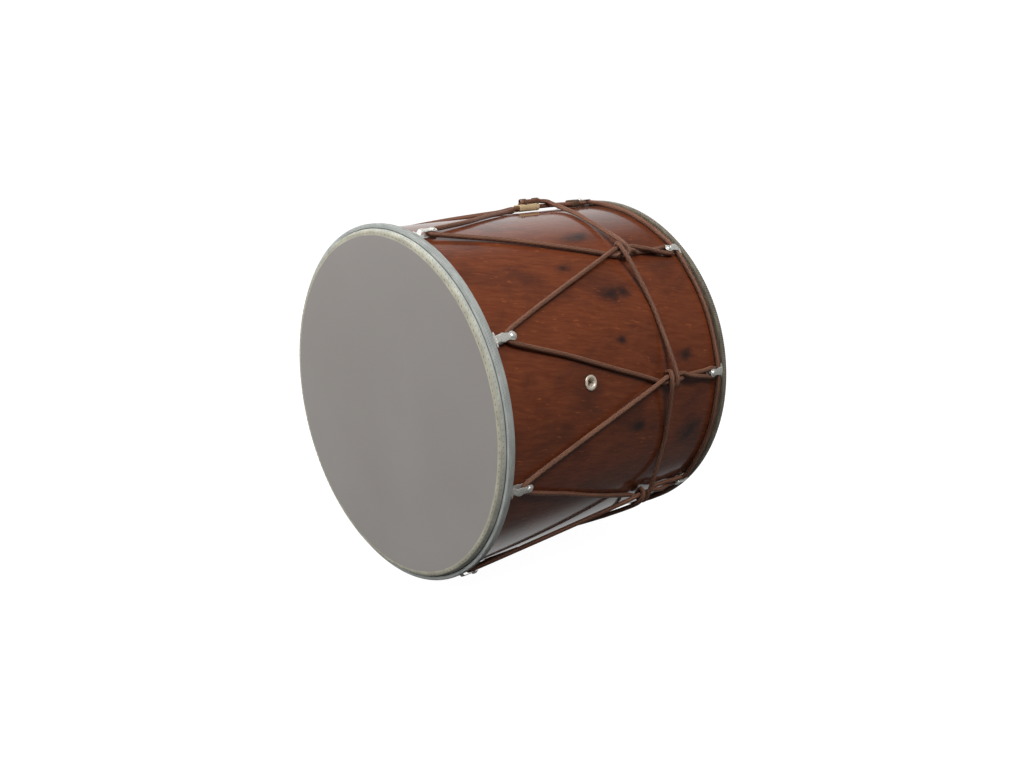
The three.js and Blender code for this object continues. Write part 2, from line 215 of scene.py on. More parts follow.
def lacquered_wood():
    """Red-brown veneer under lacquer: fine wavy grain, orange flecks, clouds and dark knots."""
    m = new_material("lacquered_wood", roughness=0.3, Coat_Weight=1.0, Coat_Roughness=0.12, Coat_IOR=1.5,
                     Specular_IOR_Level=0.1)
    uv = node(m, "TexCoord", out=UV)
    sway = node(m, "TexNoise", out=1, Vector=uv, Scale=32.0)
    warp = node(m, "VectorMath", props={"operation": "SCALE"}, i0=sway, i3=0.007)
    oblique = node(m, "Mapping", Vector=uv, Rotation=(0, 0, math.radians(GRAIN_TURN)))
    bent = node(m, "VectorMath", props={"operation": "ADD"}, i0=oblique, i1=warp)
    fine, broad, short = (
        node(m, "Mapping", Vector=bent, Scale=scale) for scale in ((900, 70, 1), (300, 34, 1), (430, 84, 1))
    )
    grain = noise(m, fine, 1, 4, 0.6)
    wide = noise(m, broad, 1, 3, 0.55)
    color = mix(m, ramp(m, wide, 0.3, 0.7), (0.140, 0.032, 0.011), (0.182, 0.047, 0.017))
    color = mix(m, times(m, ramp(m, grain, 0.42, 0.72), 0.34), color, (0.066, 0.014, 0.005))
    cloud = noise(m, mapped(m, (22, 15, 1)), 1, 4, 0.6, 0.5)
    color = mix(m, times(m, ramp(m, cloud, 0.46, 0.72), 0.62), color, (0.050, 0.016, 0.010))
    drift = ramp(m, noise(m, mapped(m, (24, 18, 1)), 1, 2, 0.5), 0.4, 0.58)
    fleck = times(m, ramp(m, noise(m, short, 1, 2, 0.45), 0.62, 0.72), drift)
    color = mix(m, times(m, fleck, 0.5), color, (0.36, 0.10, 0.03))
    color = mix(m, times(m, knot_mask(m, uv), 0.9), color, (0.012, 0.008, 0.008))
    paint(m, color, ramp(m, grain, -1.6, 2.6))
    bump(m, grain, 0.04, 0.0003)
    return m


def bare_wood():
    m = new_material("bare_wood", roughness=0.75)
    grain = noise(m, mapped(m, (30, 30, 900), OBJECT), 1, 4, 0.6)
    paint(m, mix(m, ramp(m, grain, 0.35, 0.65), (0.36, 0.22, 0.11), (0.5, 0.33, 0.18)))
    bump(m, grain, 0.2, 0.0004)
    return m


def inside_material():
    """Bare plywood inside the shell, with a painted glow standing in for the light that comes through the
    pale heads.
    """
    # Painted light: the emission makes the inside glow as if lit through the heads.
    painted_glow_color = (0.62, 0.55, 0.40, 1)
    m = new_material("shell_inside", roughness=0.8, Emission_Color=painted_glow_color, Emission_Strength=0.12)
    grain = noise(m, mapped(m, (700, 40, 1)), 1, 4, 0.6)
    paint(m, mix(m, ramp(m, grain, 0.35, 0.68), (0.36, 0.26, 0.15), (0.50, 0.38, 0.24)))
    bump(m, grain, 0.2, 0.0003)
    return m


def film_material():
    """Matt pale drum film with a faint mottle."""
    m = new_material("film", roughness=0.55, Specular_IOR_Level=0.35, Sheen_Weight=0.05)
    cloud = noise(m, mapped(m, (5, 5, 5), OBJECT), 1, 3, 0.5, 0.3)
    speck = noise(m, mapped(m, (420, 420, 420), OBJECT), 1, 2, 0.5)
    color = mix(m, ramp(m, cloud, 0.3, 0.7), (0.228, 0.210, 0.197), (0.252, 0.234, 0.221))
    color = mix(m, times(m, ramp(m, speck, 0.5, 0.75), 0.10), color, (0.30, 0.28, 0.26))
    paint(m, color, ramp(m, speck, -2.2, 2.0))
    bump(m, speck, 0.12, 0.0001)
    return m


def hem_material(name, color, shade, weave=1500.0):
    """A woven, slightly soiled hem band."""
    m = new_material(name, roughness=0.7, Sheen_Weight=0.15, Sheen_Roughness=0.5)
    uv = mapped(m, (weave, weave, 1))
    warp = node(m, "TexWave", props={"bands_direction": "X"}, Vector=uv, Scale=0.5, Distortion=1.5)
    weft = node(m, "TexWave", props={"bands_direction": "Y"}, Vector=uv, Scale=0.5, Distortion=1.5)
    cloth = times(m, warp, weft)
    soil = noise(m, mapped(m, (60, 160, 1)), 1, 4, 0.6)
    base = mix(m, ramp(m, soil, 0.35, 0.68), shade, color)
    paint(m, mix(m, times(m, cloth, 0.35), base, tuple(1.5 * c for c in color)))
    bump(m, cloth, 0.5, 0.0002)
    return m


def metal_material(name, color, roughness, metallic=1.0, worn=(0.25, 0.24, 0.22)):
    """Plated metal with a little tarnish and fine scratches."""
    m = new_material(name, color, roughness, Metallic=metallic)
    tarnish = noise(m, mapped(m, (260, 260, 260), OBJECT), 1, 4, 0.65)
    scratch = noise(m, mapped(m, (300, 4200, 300), OBJECT), 1, 2, 0.5)
    paint(m, mix(m, ramp(m, tarnish, 0.5, 0.78), color, worn), ramp(m, tarnish, -0.1 - roughness, 2.4))
    bump(m, scratch, 0.15, 0.0001)
    return m


def rope_material(name, light, dark, strands=8, pitch=150.0, lines=0.5):
    """A braided cord with pale lines along it, which are painted highlights. U runs along it in metres and V
    once round it.
    """
    m = new_material(name, roughness=0.6, Sheen_Weight=0.08, Sheen_Roughness=0.4, Specular_IOR_Level=0.25)
    along, around = node(m, "SeparateXYZ", Vector=node(m, "TexCoord", out=UV)).node.outputs[:2]
    run = times(m, along, 2 * math.pi * pitch)
    turn = times(m, around, math.pi * strands)
    left = math_node(m, "SINE", math_node(m, "ADD", run, turn))
    right = math_node(m, "SINE", math_node(m, "SUBTRACT", run, turn))
    braid = math_node(m, "MAXIMUM", left, right)
    fray = noise(m, mapped(m, (900, 9, 1)), 1, 3, 0.6)
    soil = noise(m, mapped(m, (45, 2, 1)), 1, 2, 0.5)
    # Painted highlights: thin pale lines all round the cord, standing in for the light caught along its
    # strands.
    highlight_line = math_node(m, "ABSOLUTE", math_node(m, "SINE", times(m, around, math.pi * 5)))
    color = mix(m, ramp(m, braid, -0.6, 0.9), tuple(0.72 * c for c in light), light)
    pale = tuple(min(1, 1.8 * c) for c in light)
    color = mix(m, times(m, ramp(m, highlight_line, 0.86, 1.0), lines), color, pale)
    color = mix(m, times(m, ramp(m, fray, 0.55, 0.75), 0.3), color, pale)
    paint(m, mix(m, times(m, ramp(m, soil, 0.45, 0.7), 0.35), color, dark))
    bump(m, math_node(m, "ADD", braid, times(m, fray, 0.6)), 0.45, 0.00022)
    return m


WOOD = lacquered_wood()
BARE_WOOD = bare_wood()
SKIN = film_material()
HEM_BEIGE = hem_material("hem_beige", (0.40, 0.38, 0.29), (0.27, 0.26, 0.20))
HEM_PALE = hem_material("hem_pale", (0.46, 0.47, 0.41), (0.33, 0.34, 0.30))
# Painted shade: a darker hem laid in the hem's groove and corners, where the fold is shaded.
HEM_GROOVE_SHADE = hem_material("hem_groove_shade", (0.20, 0.21, 0.19), (0.12, 0.13, 0.12))
HEM_BLUE = hem_material("hem_blue", (0.37, 0.39, 0.37), (0.25, 0.27, 0.26))
HEM_EDGE = hem_material("hem_edge", (0.45, 0.40, 0.33), (0.30, 0.26, 0.21))
HEM_OLIVE = hem_material("hem_olive", (0.17, 0.14, 0.095), (0.10, 0.08, 0.052))
STITCH_DARK = hem_material("stitch_dark", (0.09, 0.09, 0.075), (0.05, 0.05, 0.04), 3000)
STITCH_PALE = hem_material("stitch_pale", (0.44, 0.45, 0.42), (0.33, 0.34, 0.32), 3000)
STEEL = metal_material("hoop_steel", (0.55, 0.56, 0.57), 0.4)
NICKEL = metal_material("nickel", (0.80, 0.79, 0.74), 0.38, 0.55, (0.42, 0.41, 0.38))
EYELET = metal_material("eyelet", (0.80, 0.70, 0.58), 0.42, 0.4, (0.55, 0.46, 0.36))
ROPE = rope_material("rope", (0.165, 0.074, 0.044), (0.070, 0.028, 0.015))
SERVING_ROPE = rope_material("serving_rope", (0.10, 0.055, 0.03), (0.035, 0.018, 0.01), 6, 300)
THREAD = rope_material("thread", (0.56, 0.42, 0.24), (0.30, 0.20, 0.09), 4, 700, 0.2)
COLLAR_THREAD = rope_material("collar_thread", (0.14, 0.075, 0.042), (0.06, 0.03, 0.018), 4, 700, 0.2)
INSIDE = inside_material()


# ------------------------------------------------------------------ mesh helpers
def piece(name, mesh, body, materials, replaces=()):
    obj = bpy.data.objects.new(name, mesh)
    bpy.context.scene.collection.objects.link(obj)
    for material in materials:
        mesh.materials.append(material)
    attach(obj, body)
    if replaces:
        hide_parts(*replaces)
    return obj


def dress(name, material):
    """Gives a CAD node a material of this script's own."""
    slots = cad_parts[name].data.materials
    slots.clear()
    slots.append(material)


def build(name, points, faces, uvs, slots=None):
    """A smooth mesh from points in drum coordinates, faces, their corners' UVs and their material slots."""
    mesh = bpy.data.meshes.new(name)
    mesh.from_pydata(place(points), [], faces)
    layer = mesh.uv_layers.new(name="UVMap")
    layer.data.foreach_set("uv", [value for face in uvs for corner in face for value in corner])
    if slots:
        mesh.polygons.foreach_set("material_index", slots)
    mesh.polygons.foreach_set("use_smooth", [True] * len(faces))
    work = bmesh.new()
    work.from_mesh(mesh)
    bmesh.ops.recalc_face_normals(work, faces=work.faces)
    work.to_mesh(mesh)
    work.free()
    mesh.update()
    return mesh


def sharpen(mesh, degrees):
    mesh.set_sharp_from_angle(angle=math.radians(degrees))
    return mesh


def turned(name, profile, steps, slots=None, matrix=None):
    """Turns a closed profile of (r, along) points: about the drum's axis, or about Z with a `matrix`.

    `slots` has one material slot for each edge of the profile.
    """
    count = len(profile)
    points, faces, uvs, face_slots = [], [], [], []
    runs = [0.0]
    for i in range(count):
        (r0, y0), (r1, y1) = profile[i], profile[(i + 1) % count]
        runs.append(runs[-1] + math.hypot(r1 - r0, y1 - y0))
    widest = max(r for r, _ in profile)
    for s in range(steps):
        turn = math.radians(SEAM + 360 * s / steps)
        c, n = math.cos(turn), math.sin(turn)
        if matrix is None:
            points += [Vector((r * c, y, r * n)) for r, y in profile]
        else:
            points += [matrix @ Vector((r * c, r * n, y)) for r, y in profile]
    for s in range(steps):
        a, b = s * count, ((s + 1) % steps) * count
        u0, u1 = (2 * math.pi * widest * k / steps / 1000 for k in (s, s + 1))
        for i in range(count):
            j = (i + 1) % count
            v0, v1 = runs[i] / 1000, runs[i + 1] / 1000
            faces.append((a + i, a + j, b + j, b + i))
            uvs.append(((u0, v0), (u0, v1), (u1, v1), (u1, v0)))
            face_slots.append(slots[i] if slots else 0)
    return build(name, points, faces, uvs, face_slots)


def tidy_axis(mesh, distance=0.00002):
    """Joins the rings of points that lie on a turned piece's axis."""
    work = bmesh.new()
    work.from_mesh(mesh)
    bmesh.ops.remove_doubles(work, verts=work.verts, dist=distance)
    bmesh.ops.dissolve_degenerate(work, edges=work.edges, dist=distance / 2)
    work.to_mesh(mesh)
    work.free()
    return mesh


def rounded(points, radius, steps=3, closed=False):
    """Rounds the corners of a path of (a, b) points."""
    out = []
    count = len(points)
    for i, point in enumerate(points):
        p = Vector(point)
        if not closed and i in (0, count - 1):
            out.append(p)
            continue
        before, after = Vector(points[i - 1]), Vector(points[(i + 1) % count])
        to_before, to_after = before - p, after - p
        reach = min(radius, to_before.length * 0.48, to_after.length * 0.48)
        a, b = p + to_before.normalized() * reach, p + to_after.normalized() * reach
        for k in range(steps + 1):
            t = k / steps
            out.append(a * (1 - t) ** 2 + p * 2 * t * (1 - t) + b * t * t)
    return out


def band(path, thickness):
    """The closed outline of a thin band along a path of (a, b) points."""
    path = [Vector(p) for p in path]
    sides = []
    for sign in (1, -1):
        side = []
        for i, p in enumerate(path):
            before, after = path[max(i - 1, 0)], path[min(i + 1, len(path) - 1)]
            d1 = (p - before if i else after - p).normalized()
            d2 = (after - p if i < len(path) - 1 else p - before).normalized()
            mitre = Vector((-d1.y - d2.y, d1.x + d2.x)).normalized()
            reach = thickness / 2 / max(0.3, -mitre.x * d1.y + mitre.y * d1.x)
            side.append(p + mitre * reach * sign)
        sides.append(side)
    return sides[0] + sides[1][::-1]


FINEST_STEP = 0.7


def smooth_route(points, step):
    """A centripetal Catmull-Rom curve through the points, cut into equal steps."""
    ends = [points[0] * 2 - points[1], *points, points[-1] * 2 - points[-2]]
    fine = []
    for i in range(1, len(ends) - 2):
        p0, p1, p2, p3 = ends[i - 1:i + 3]
        knots = [0.0]
        for a, b in ((p0, p1), (p1, p2), (p2, p3)):
            knots.append(knots[-1] + max(1e-4, (b - a).length) ** 0.5)
        t0, t1, t2, t3 = knots
        parts = max(2, math.ceil((p2 - p1).length / FINEST_STEP))
        for k in range(parts):
            t = t1 + (t2 - t1) * k / parts
            a1 = p0 * ((t1 - t) / (t1 - t0)) + p1 * ((t - t0) / (t1 - t0))
            a2 = p1 * ((t2 - t) / (t2 - t1)) + p2 * ((t - t1) / (t2 - t1))
            a3 = p2 * ((t3 - t) / (t3 - t2)) + p3 * ((t - t2) / (t3 - t2))
            b1 = a1 * ((t2 - t) / (t2 - t0)) + a2 * ((t - t0) / (t2 - t0))
            b2 = a2 * ((t3 - t) / (t3 - t1)) + a3 * ((t - t1) / (t3 - t1))
            fine.append(b1 * ((t2 - t) / (t2 - t1)) + b2 * ((t - t1) / (t2 - t1)))
    fine.append(points[-1])
    lengths = [0.0]
    for a, b in zip(fine, fine[1:]):
        lengths.append(lengths[-1] + (b - a).length)
    count = max(2, round(lengths[-1] / step))
    out, i = [], 0
    for k in range(count + 1):
        goal = lengths[-1] * k / count
        while i < len(fine) - 2 and lengths[i + 1] < goal:
            i += 1
        part = (goal - lengths[i]) / max(1e-9, lengths[i + 1] - lengths[i])
        out.append(fine[i].lerp(fine[i + 1], min(1, max(0, part))))
    return out


TIP = 0.35  # how far a cord's end bulges, as a share of its radius


def swept(name, route, radius, sides=12):
    """A tube along a route with closed, rounded ends. UV: metres along it, and once round it."""
    tangents = []
    for i in range(len(route)):
        tangents.append((route[min(i + 1, len(route) - 1)] - route[max(i - 1, 0)]).normalized())
    normal = Vector((route[0].x, 0, route[0].z)).normalized()
    points, faces, uvs = [], [], []
    run = 0.0
    rings = []
    for i, (p, t) in enumerate(zip(route, tangents)):
        if i:
            run += (p - route[i - 1]).length
            normal = tangents[i - 1].rotation_difference(t) @ normal
        normal = (normal - t * normal.dot(t)).normalized()
        side = t.cross(normal)
        first = len(points)
        for k in range(sides):
            turn = 2 * math.pi * k / sides
            points.append(p + normal * radius * math.cos(turn) + side * radius * math.sin(turn))
        rings.append((first, run / 1000))
    for (a, u0), (b, u1) in zip(rings, rings[1:]):
        for k in range(sides):
            j = (k + 1) % sides
            faces.append((a + k, a + j, b + j, b + k))
            v0, v1 = k / sides, (k + 1) / sides
            uvs.append(((u0, v0), (u0, v1), (u1, v1), (u1, v0)))
    for end, sign in ((0, -1), (len(route) - 1, 1)):
        tip = len(points)
        points.append(route[end] + tangents[end] * sign * radius * TIP)
        first, u = rings[end]
        for k in range(sides):
            j = (k + 1) % sides
            face = (first + k, first + j, tip)
            faces.append(face if sign > 0 else face[::-1])
            uvs.append(((u, k / sides), (u, (k + 1) / sides), (u, k / sides)))
    return build(name, points, faces, uvs)


# ------------------------------------------------------------------ shell and vent
def unroll(mesh):
    """UV on the shell's surface: metres round it from the seam, and metres along its axis."""
    layer = mesh.uv_layers.active.data
    for polygon in mesh.polygons:
        turns = []
        for loop in polygon.loop_indices:
            co = mesh.vertices[mesh.loops[loop].vertex_index].co
            turns.append((math.degrees(math.atan2(co.z - AXIS_Z, co.x)) - SEAM) % 360)
        if max(turns) - min(turns) > 180:
            turns = [t + 360 if t < 180 else t for t in turns]
        for turn, loop in zip(turns, polygon.loop_indices):
            co = mesh.vertices[mesh.loops[loop].vertex_index].co
            layer[loop].uv = (math.radians(turn) * SHELL_R / 1000, co.y)


def vent_drill():
    """A cylinder through the shell where the vent is."""
    mesh = bpy.data.meshes.new("vent_drill")
    work = bmesh.new()
    radius = VENT_DRILL / 1000
    bmesh.ops.create_cone(work, cap_ends=True, segments=32, radius1=radius, radius2=radius, depth=0.03)
    work.to_mesh(mesh)
    work.free()
    matrix = spot(VENT_ANGLE, 1, VENT_Y)
    centre = matrix @ Vector((0, 0, SHELL_R))
    mesh.transform(Matrix.Translation(place([centre])[0]) @ matrix.to_3x3().to_4x4())
    drill = bpy.data.objects.new("vent_drill", mesh)
    bpy.context.scene.collection.objects.link(drill)
    return drill


def make_shell():
    """The tube in strips along its axis, with rounded edges and a drilled vent."""
    inner = SHELL_R - SHELL_WALL
    edge = [
        (SHELL_R, EDGE_START), (SHELL_R - 1, 5.9), (SHELL_R - 2.7, 7.1), (SHELL_R - 4.6, CREST), (inner, 5.5),
    ]
    strips, inner_strips = 60, 16
    half = HOOP_Y + EDGE_START
    profile = [(r, HOOP_Y + d) for r, d in edge]
    profile += [(inner, HOOP_Y * (1 - 2 * k / inner_strips)) for k in range(1, inner_strips)]
    profile += [(r, -HOOP_Y - d) for r, d in reversed(edge)]
    profile += [(SHELL_R, -half + 2 * half * i / strips) for i in range(1, strips)]
    slots = [1 if r <= inner + 0.1 else 0 for r, _ in profile]
    mesh = turned("shell_fine", profile, 256, slots)
    unroll(mesh)
    shell = piece("shell_fine", mesh, "drum", [WOOD, INSIDE], ["shell"])
    drill = vent_drill()
    cut = shell.modifiers.new("vent", "BOOLEAN")
    cut.operation, cut.object, cut.solver = "DIFFERENCE", drill, "EXACT"
    bpy.context.view_layer.update()
    done = bpy.data.meshes.new_from_object(shell.evaluated_get(bpy.context.evaluated_depsgraph_get()))
    shell.modifiers.clear()
    shell.data = done
    bpy.data.objects.remove(drill)
    sharpen(done, 30)


def make_vent():
    top = SHELL_R + 0.5
    inside = SHELL_R - SHELL_WALL - 1.6
    path = [
        (VENT_BORE, inside), (VENT_FOOT, inside), (VENT_FOOT, inside + 0.5), (VENT_BARREL, inside + 0.5),
        (VENT_BARREL, top), (VENT_FLANGE, top - 0.1), (VENT_FLANGE - 0.1, top + 0.45), (5.6, top + 0.95),
        (4.3, top + 0.75), (VENT_BORE + 0.1, top - 0.2),
    ]
    profile = [tuple(p) for p in rounded(path, 0.45, 3, closed=True)]
    mesh = turned("vent_eyelet", profile, 64, matrix=spot(VENT_ANGLE, 1, VENT_Y))
    piece("vent_eyelet", mesh, "drum", [EYELET], ["vent_grommet"])
    dress("vent_washer", EYELET)


# ------------------------------------------------------------------ heads
def head_slot(r, d, outer, skirt):
    """The band of a head at radius r and distance d from the hoop's centre, outer or inner side."""
    film, beige, pale, groove, ridge, rim_edge = range(6)
    if r < FLAT_R - 0.2:
        return film
    if r < skirt + 0.5 and d > 3.2:
        return beige if d > 6.3 else pale
    in_corner = r < 166 and d > 0 if outer else r < 167.6 and -2.6 < d < 3.1
    # The groove and its corners get the darker hem, which is painted shade.
    if r < skirt + 0.6 or in_corner:
        return groove
    return rim_edge if d < -2.0 else ridge


def make_head(name, end, bands):
    """The film, its skirt down the shell, and the hem folded over the hoop."""
    edge = CREST + FILM_GAP + FILM / 2
    skirt = SHELL_R + FILM_GAP + FILM / 2
    path = [
        (FLAT_R, edge), (FLAT_R + 1, edge - 0.03), (161.9, edge - 0.5), (skirt, edge - 3.2), (skirt, HEM_LOW),
        (HEM_OUTER - 0.1, HEM_LOW), (HEM_OUTER, 2.3), (HEM_OUTER - 1, HEM_TOP), (HEM_INNER, HEM_TOP - 0.05),
    ]
    rings = 12
    middle = [Vector((0.02, edge)), *[Vector((FLAT_R * k / rings, edge)) for k in range(1, rings)]]
    middle += rounded(path, 0.9, 4)
    outline = [tuple(p) for p in band(middle, FILM)]
    slots = []
    for i, (r0, d0) in enumerate(outline):
        r1, d1 = outline[(i + 1) % len(outline)]
        slots.append(head_slot((r0 + r1) / 2, (d0 + d1) / 2, i < len(outline) // 2, skirt))
    profile = [(r, end * (HOOP_Y + d)) for r, d in outline]
    mesh = sharpen(tidy_axis(turned(f"{name}_skin", profile, 384, slots)), 60)
    piece(f"{name}_skin", mesh, "drum", [SKIN, *bands], [f"{name}_head"])


def stitches(name, end, count, path, radius, slant, material):
    """Short threads all round a head. `path` holds (r, d) points, and `slant` is its turn in millimetres."""
    points, faces, uvs = [], [], []
    sides, jitter, tip = 5, 0.15, 0.45
    last = len(path) - 1
    for s in range(count):
        base = 360 * (s + jitter * (random.random() - 0.5)) / count
        route = []
        for k, (r, d) in enumerate(path):
            route.append(on_drum(base, (end * (HOOP_Y + d), slant * (k / last - 0.5), r)))
        first = len(points)
        for k, p in enumerate(route):
            t = (route[min(k + 1, last)] - route[max(k - 1, 0)]).normalized()
            out = Vector((p.x, 0, p.z)).normalized()
            a = (out - t * out.dot(t)).normalized()
            b = t.cross(a)
            size = radius * (tip if k in (0, last) else 1.0)
            for j in range(sides):
                turn = 2 * math.pi * j / sides
                points.append(p + a * size * math.cos(turn) + b * size * math.sin(turn))
        for k in range(last):
            u0, u1 = k / 1000, (k + 1) / 1000
            for j in range(sides):
                n = (j + 1) % sides
                a0, b0 = first + k * sides, first + (k + 1) * sides
                faces.append((a0 + j, a0 + n, b0 + n, b0 + j))
                uvs.append(((u0, j / sides), (u0, n / sides), (u1, n / sides), (u1, j / sides)))
        for row, flip in ((first, True), (first + last * sides, False)):
            ring = tuple(row + j for j in range(sides))
            faces.append(ring[::-1] if flip else ring)
            uvs.append(tuple((0, j / sides) for j in range(sides)))
    piece(name, build(name, points, faces, uvs), "drum", [material])


def make_heads():
    front = [HEM_BEIGE, HEM_PALE, HEM_GROOVE_SHADE, HEM_BLUE, HEM_EDGE]
    rear = [HEM_BEIGE, HEM_PALE, HEM_GROOVE_SHADE, HEM_OLIVE, HEM_OLIVE]
    running = [(160.0, 8.02), (160.3, 7.98), (160.7, 7.92), (161.0, 7.86)]
    lower = [(162.9, 6.35), (163.2, 5.85), (163.45, 5.4)]
    over = [(166.6, 3.5), (167.5, 3.2), (168.1, 2.5), (168.2, 1.4), (168.2, -0.2), (168.15, -1.9)]
    # name, how many, path, thread radius, slant, material
    rows = [
        ("running_stitch", 176, running, 0.22, 1.9, STITCH_DARK),
        ("lower_stitch", 210, lower, 0.2, 1.5, STITCH_DARK),
        ("hem_stitch", 460, over, 0.15, 2.6, STITCH_PALE),
    ]
    for name, end, bands in (("front", -1, front), ("rear", 1, rear)):
        make_head(name, end, bands)
        for row, *form in rows:
            stitches(f"{name}_{row}", end, *form)


# ------------------------------------------------------------------ hooks
def strap_half_width(back):
    """Half the strap's width at a distance from the hoop's centre: plain, wavy, then a round end."""
    wave_from, end_from = 6.2, POST_BACK - 2.6
    if back > end_from:
        return math.sqrt(max(0.0, STRAP_END_R ** 2 - (back - POST_BACK) ** 2))
    wave = max(0.0, (back - wave_from) / (end_from - wave_from))
    bulge = STRAP_WAVE * math.sin(math.pi * min(1, wave * 1.35)) ** 2
    return STRAP_HALF + bulge - 0.15 * max(0, wave - 0.75)


def ear_reach(back):
    """Extra half width of the two round ears beside the hem."""
    return EAR_REACH * math.sqrt(max(0.0, 1 - ((back - EAR_BACK) / EAR_HALF_LENGTH) ** 2))


def strap_path():
    """The folded strap's middle line, as (d, r): back along the shell, round the hoop and over the hem."""
    back = -POST_BACK - STRAP_END_R
    corner = 0.5
    path = [
        (back, STRAP_LOW), (STRAP_FRONT - 0.4, STRAP_LOW), (STRAP_FRONT, STRAP_LOW + corner),
        (STRAP_FRONT, STRAP_HEM - corner), (STRAP_FRONT - 0.4, STRAP_HEM), (STRAP_RAMP, STRAP_HEM),
        (STRAP_BACK, STRAP_TOP), (back, STRAP_TOP),
    ]
    fine = []
    for a, b in zip(path, path[1:]):
        parts = max(1, round(math.hypot(b[0] - a[0], b[1] - a[1]) / 0.42))
        fine += [(a[0] + (b[0] - a[0]) * k / parts, a[1] + (b[1] - a[1]) * k / parts) for k in range(parts)]
    return [*fine, path[-1]]


def make_hook(name, angle, end):
    path = strap_path()
    # places across the strap, and how much of its thickness is left there
    columns = [(-1, 0.35), (-0.94, 0.85), (-0.8, 1), (-0.5, 1), (-0.2, 1)]
    columns += [(-c, share) for c, share in reversed(columns)]
    upper_from = next(i for i, p in enumerate(path) if p[1] > STRAP_HEM - 0.6)
    matrix = spot(angle, end, end * HOOP_Y)
    points, faces, uvs, rows = [], [], [], []
    for i, (d, z) in enumerate(path):
        before, after = path[max(i - 1, 0)], path[min(i + 1, len(path) - 1)]
        t = Vector((after[0] - before[0], after[1] - before[1])).normalized()
        n = Vector((-t.y, t.x)) * STRAP_HALF_THICK
        upper = i > upper_from
        half = max(strap_half_width(-d) + (ear_reach(-d) if upper else 0.0), 0.25)
        crown = 0.22 if upper and d < -7 else 0.0
        rows.append(len(points))
        for sign in (1, -1):
            for c, share in columns:
                lift = crown * (1 - c * c)
                p = Vector((half * c, d + n.x * share * sign, z + n.y * share * sign + lift))
                points.append(matrix @ p)
    width = len(columns)
    loop = list(range(width)) + list(range(2 * width - 1, width - 1, -1))
    for a, b in zip(rows, rows[1:]):
        for k, j in zip(loop, loop[1:] + loop[:1]):
            faces.append((a + k, a + j, b + j, b + k))
            uvs.append(((0, 0), (0.001, 0), (0.001, 0.001), (0, 0.001)))
    for row in (rows[0], rows[-1]):
        faces.append(tuple(row + k for k in loop))
        uvs.append(tuple((0, 0) for _ in loop))
    mesh = sharpen(build(f"{name}_plate", points, faces, uvs), 40)
    piece(f"{name}_plate", mesh, "drum", [NICKEL], [name])


def make_rivet(name, angle, end):
    low, top = STRAP_LOW - 0.2, STRAP_TOP + 0.5
    brim = top + 0.25
    profile = [(0.02, low), (POST_R, low), (POST_R, top - 0.05)]
    profile += [(RIVET_HEAD_R - 0.05, top), (RIVET_HEAD_R, brim)]
    for turn in (20, 40, 60, 78):
        rise = RIVET_HEAD_RISE * math.sin(math.radians(turn))
        profile.append((RIVET_HEAD_R * math.cos(math.radians(turn)), brim + rise))
    profile.append((0.02, brim + RIVET_HEAD_RISE))
    matrix = spot(angle, end, end * (HOOP_Y - POST_BACK))
    mesh = sharpen(tidy_axis(turned(f"{name}_dome", profile, 24, matrix=matrix), 0.00005), 40)
    piece(f"{name}_dome", mesh, "drum", [NICKEL], [name])


def make_hooks():
    for name, end, first in (("front", -1, FRONT_HOOK_ANGLE), ("rear", 1, REAR_HOOK_ANGLE)):
        for k in range(TENSIONERS):
            angle = first - PITCH * k
            make_hook(f"{name}_hook_{k + 1}", angle, end)
            make_rivet(f"{name}_rivet_{k + 1}", angle, end)


# ------------------------------------------------------------------ ropes, on the routes of the CAD model
UPPER_STRAND = [
    (-62, 42.1, ON_SHELL), (-35, 31, ON_SHELL), (-8, 20, ON_SHELL), (18, 10, ON_SHELL), (36, 2.7, ON_SHELL),
    (42, 0, ON_SHELL - 0.1), (45.5, -1.6, ON_SHELL + 0.2), (49, -2.8, 167.5), (52, -2.7, 169.4),
    (55, -2.45, PAIR_R), (69, -2.45, PAIR_R), (72, -2.6, 169.2), (75, -2.5, 167.2),
    (78.5, -2.2, ON_SHELL + 0.1), (96, -2.1, ON_SHELL), (108, -2.2, 166.9),
]
LOWER_STRAND = [
    (42, 0, PAIR_R + 0.2), (46, 1.5, PAIR_R + 0.1), (50, 2.3, PAIR_R), (55, PAIR_HALF, PAIR_R),
    (72, PAIR_HALF, PAIR_R), (75, 1.4, PAIR_R + 0.1), (83, -2, PAIR_R + 0.3), (89, -3.6, PAIR_R + 0.1),
    (97, -5.6, 169.3), (107, -7.6, 167.7),
]
SPLICED_STRAND = [
    (-62, 41, ON_SHELL), (-30, 28, ON_SHELL), (0, 15.5, ON_SHELL), (18, 7.5, 166.4),
    (29, PAIR_HALF + 0.4, SPLICE_R), (32, PAIR_HALF, SPLICE_R), (80, PAIR_HALF, SPLICE_R),
]
ROUND_TURN = [
    (2.6, 4, OVER_PAIR), (2.6, -3.2, OVER_PAIR), (2, -6.2, 173.6), (1.4, -7.1, PAIR_R), (0.8, -6.2, 167.2),
    (0.3, -3.4, ON_SHELL), (-0.3, 3.4, ON_SHELL), (-1, 6.2, 167.2), (-2, 7.1, PAIR_R), (-3.2, 6.2, 173.6),
    (-4.4, 3.2, OVER_PAIR), (-4.7, -4, OVER_PAIR),
]


def bight(angle, end):
    """The lacing's turn round a rivet."""
    radius = POST_R + 0.9 + ROPE_R
    out = []
    for turn in (67, 30, 0, -30, -67):
        side = radius * math.sin(math.radians(turn))
        y = end * (HOOP_Y - POST_BACK + radius * math.cos(math.radians(turn)))
        out.append(on_drum(angle, (y, side, IN_HOOK)))
    return out


def served(side, *stops):
    """Points of a rope's end in the serving, at the given y."""
    return [on_drum(REAR_HOOK_ANGLE, (y, side * SERVING_HALF, SERVING_R)) for y in stops]


